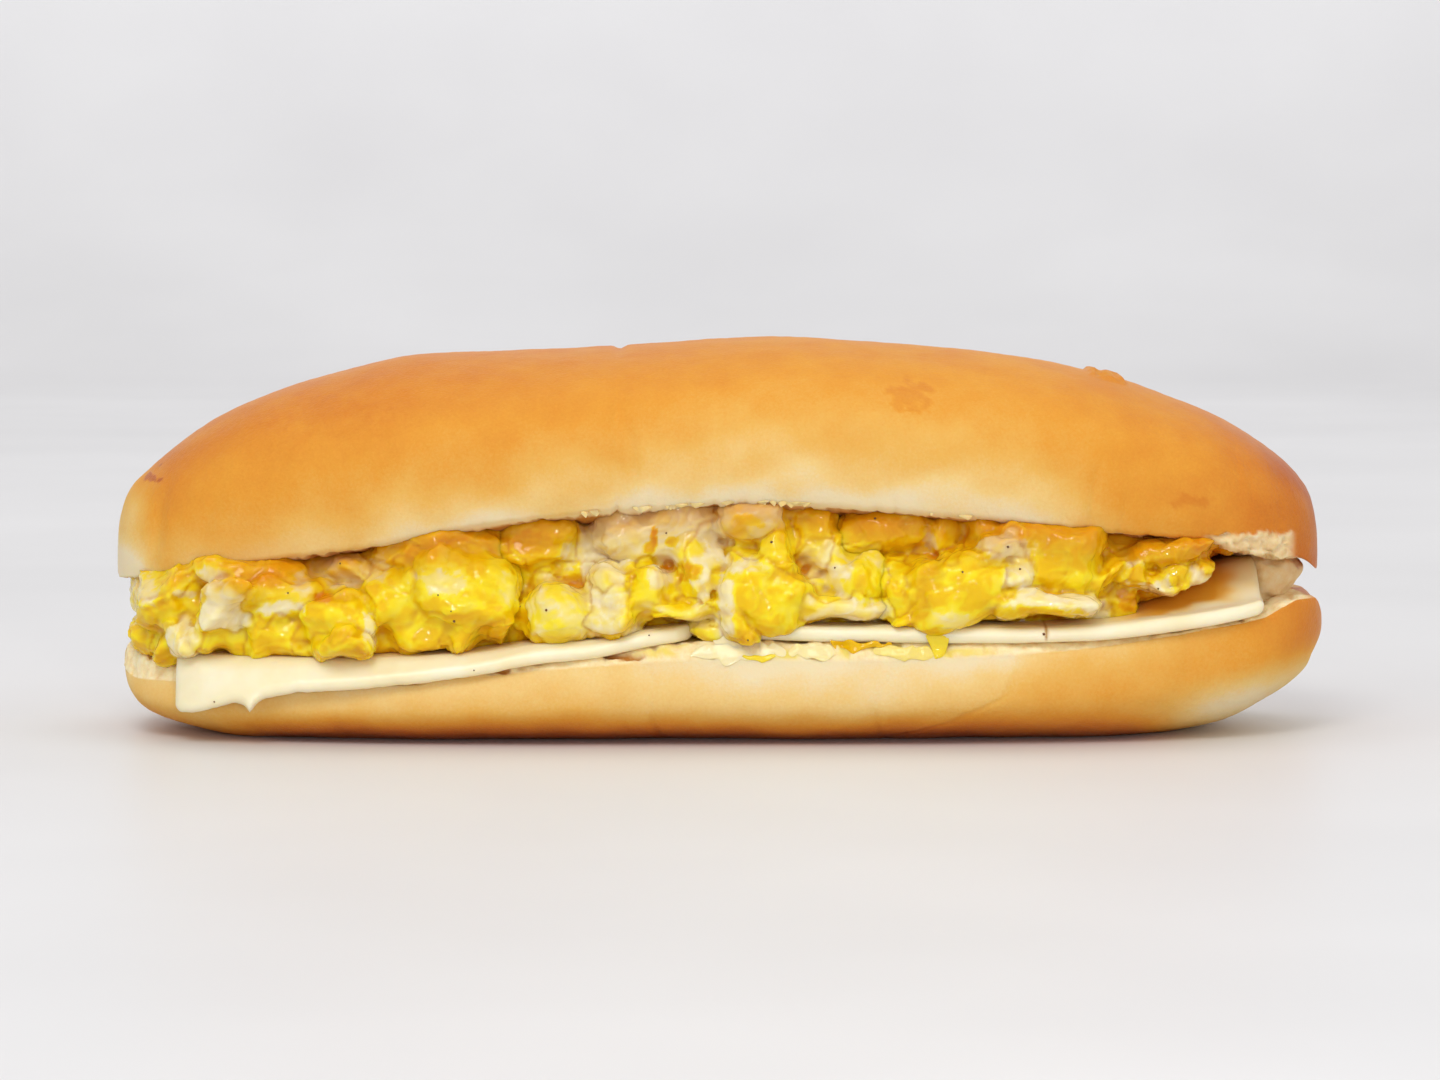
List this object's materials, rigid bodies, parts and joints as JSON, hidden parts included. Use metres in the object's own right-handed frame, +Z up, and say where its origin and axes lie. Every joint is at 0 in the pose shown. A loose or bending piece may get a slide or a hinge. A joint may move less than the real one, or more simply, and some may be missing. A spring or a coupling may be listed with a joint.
{
  "type": "breakfast sandwich",
  "caption": "Long soft roll, slit along one side and hinged at the back, filled with scrambled egg over pale cheese slices.",
  "frame": {"origin": "on the table, in the middle of the sandwich's bounding box", "axes": "+X along the roll, the open side of the slot faces -Y, +Z is up"},
  "size_m": [0.1999, 0.0746, 0.0646],
  "materials": {
    "bread": "soft golden brown crust with pale crumb on the cut faces",
    "cheese": "smooth pale cream, satin",
    "egg": "moist yellow and creamy white curds"
  },
  "bodies": {
    "root": {"roll": "bread", "cheese_slice_left": "cheese", "cheese_slice_right": "cheese", "egg_filling": "egg"}
  },
  "joints": []
}
